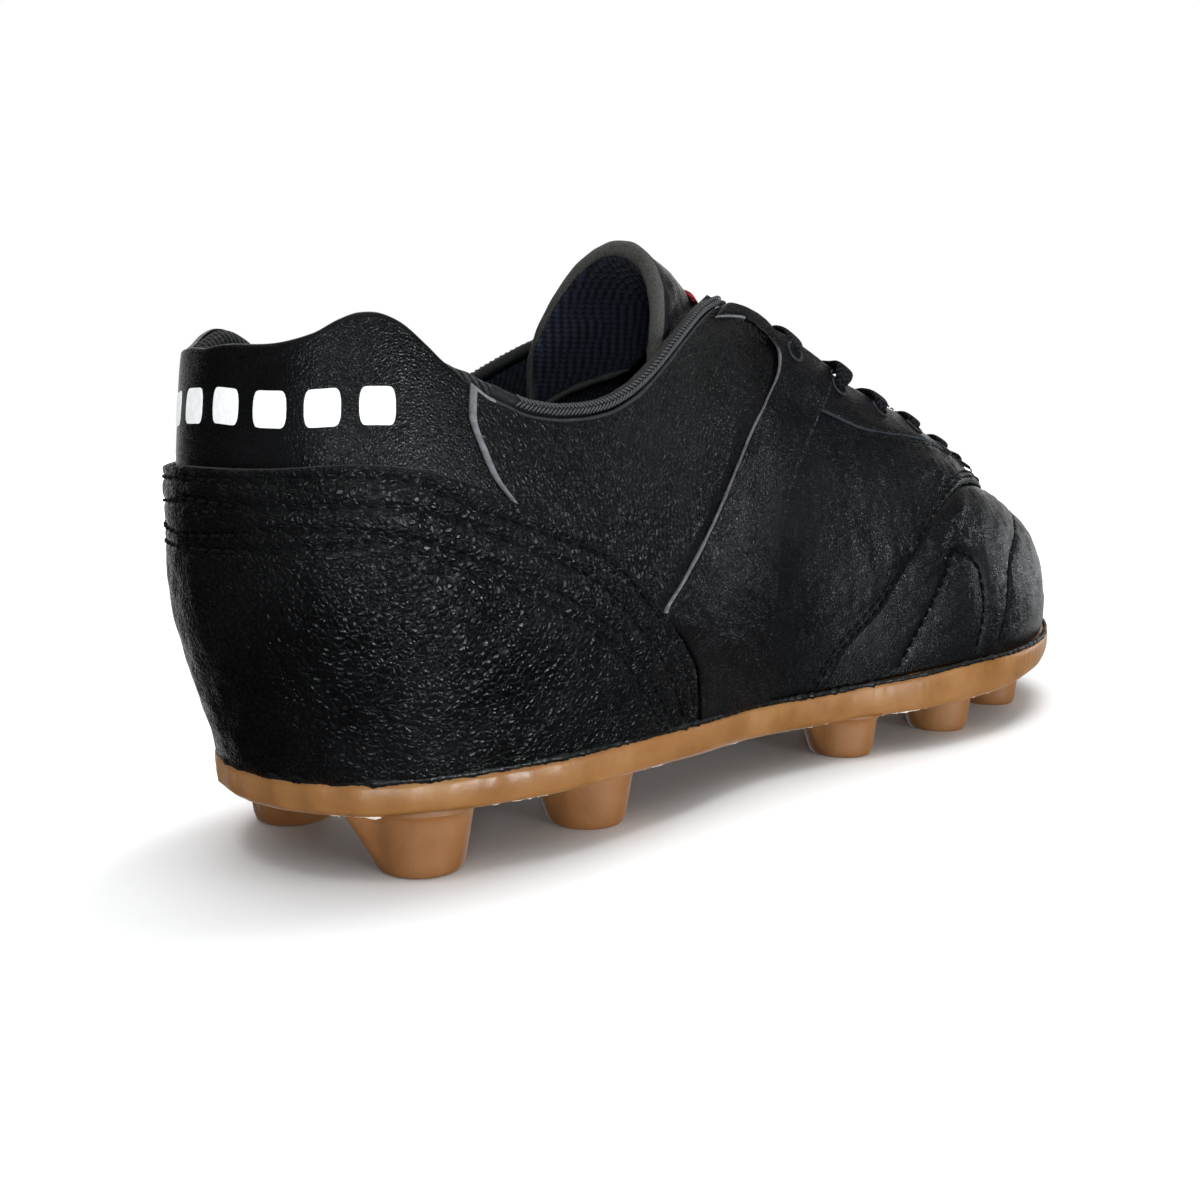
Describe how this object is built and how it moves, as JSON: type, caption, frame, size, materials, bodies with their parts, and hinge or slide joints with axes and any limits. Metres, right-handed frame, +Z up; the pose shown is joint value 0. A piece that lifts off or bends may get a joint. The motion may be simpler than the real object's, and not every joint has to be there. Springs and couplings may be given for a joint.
{
  "type": "soccer cleat",
  "caption": "Low-cut left football boot with padded collar, folding tongue, criss-cross lace and a moulded outsole with conical studs.",
  "frame": {"origin": "on the ground plane under the stud tips, at the middle of the shoe's length and width", "axes": "+X towards the toe, +Y towards the outer (lateral) side of a left shoe, +Z up"},
  "size_m": [0.2948, 0.0966, 0.1214],
  "materials": {
    "binding_textile": "soft edge binding",
    "board": "cellulose board, matte",
    "cork": "cork filler, matte",
    "foam": "dark open foam",
    "grain_leather": "pebbled black leather, satin",
    "gum_plate": "translucent gum, satin",
    "gum_stud": "matte gum",
    "lace_textile": "woven black lace",
    "lining_textile": "dark ribbed lining",
    "shank_plate": "glass-filled nylon",
    "smooth_leather": "smooth black leather, soft sheen",
    "stiffener_board": "thermoplastic felt",
    "tab_textile": "woven red tab",
    "vamp_leather": "fine-grained soft black leather"
  },
  "bodies": {
    "root": {"collar_foam": "foam", "collar_lining": "lining_textile", "collar_panel": "smooth_leather", "eyelet_stay_lateral": "stiffener_board", "eyelet_stay_medial": "stiffener_board", "eyestay_lateral": "vamp_leather", "eyestay_medial": "vamp_leather", "forefoot_filler": "cork", "heel_filler": "cork", "heel_foxing": "grain_leather", "heel_stiffener": "stiffener_board", "insole_board": "board", "lace": "lace_textile", "outsole_plate": "gum_plate", "quarter_lateral": "grain_leather", "quarter_lining_lateral": "lining_textile", "quarter_lining_medial": "lining_textile", "quarter_medial": "grain_leather", "saddle_lateral": "smooth_leather", "saddle_medial": "smooth_leather", "sock_liner": "lining_textile", "stud_ball_lateral": "gum_stud", "stud_ball_medial": "gum_stud", "stud_centre_rear": "gum_stud", "stud_front_lateral": "gum_stud", "stud_front_medial": "gum_stud", "stud_heel_lateral": "gum_stud", "stud_heel_medial": "gum_stud", "stud_mid_lateral": "gum_stud", "stud_mid_medial": "gum_stud", "stud_toe": "gum_stud", "stud_waist_lateral": "gum_stud", "stud_waist_medial": "gum_stud", "toe_puff": "stiffener_board", "toe_vamp": "vamp_leather", "tongue_foam": "foam", "tongue_leather": "vamp_leather", "tongue_lining": "lining_textile", "topline_binding": "binding_textile", "vamp_lining_lateral": "lining_textile", "vamp_lining_medial": "lining_textile", "vamp_wing_lateral": "vamp_leather", "vamp_wing_medial": "vamp_leather", "waist_shank": "shank_plate"},
    "tongue_flap": {"flap_foam": "foam", "flap_leather": "vamp_leather", "flap_lining": "lining_textile", "tongue_tab": "tab_textile"}
  },
  "joints": [
    {"name": "tongue_fold", "type": "hinge", "parent": "root", "child": "tongue_flap", "pos_m": [-0.01907, -0.01303, 0.1046], "axis": [0, 1, 0], "range_deg": [-8, 60]}
  ]
}
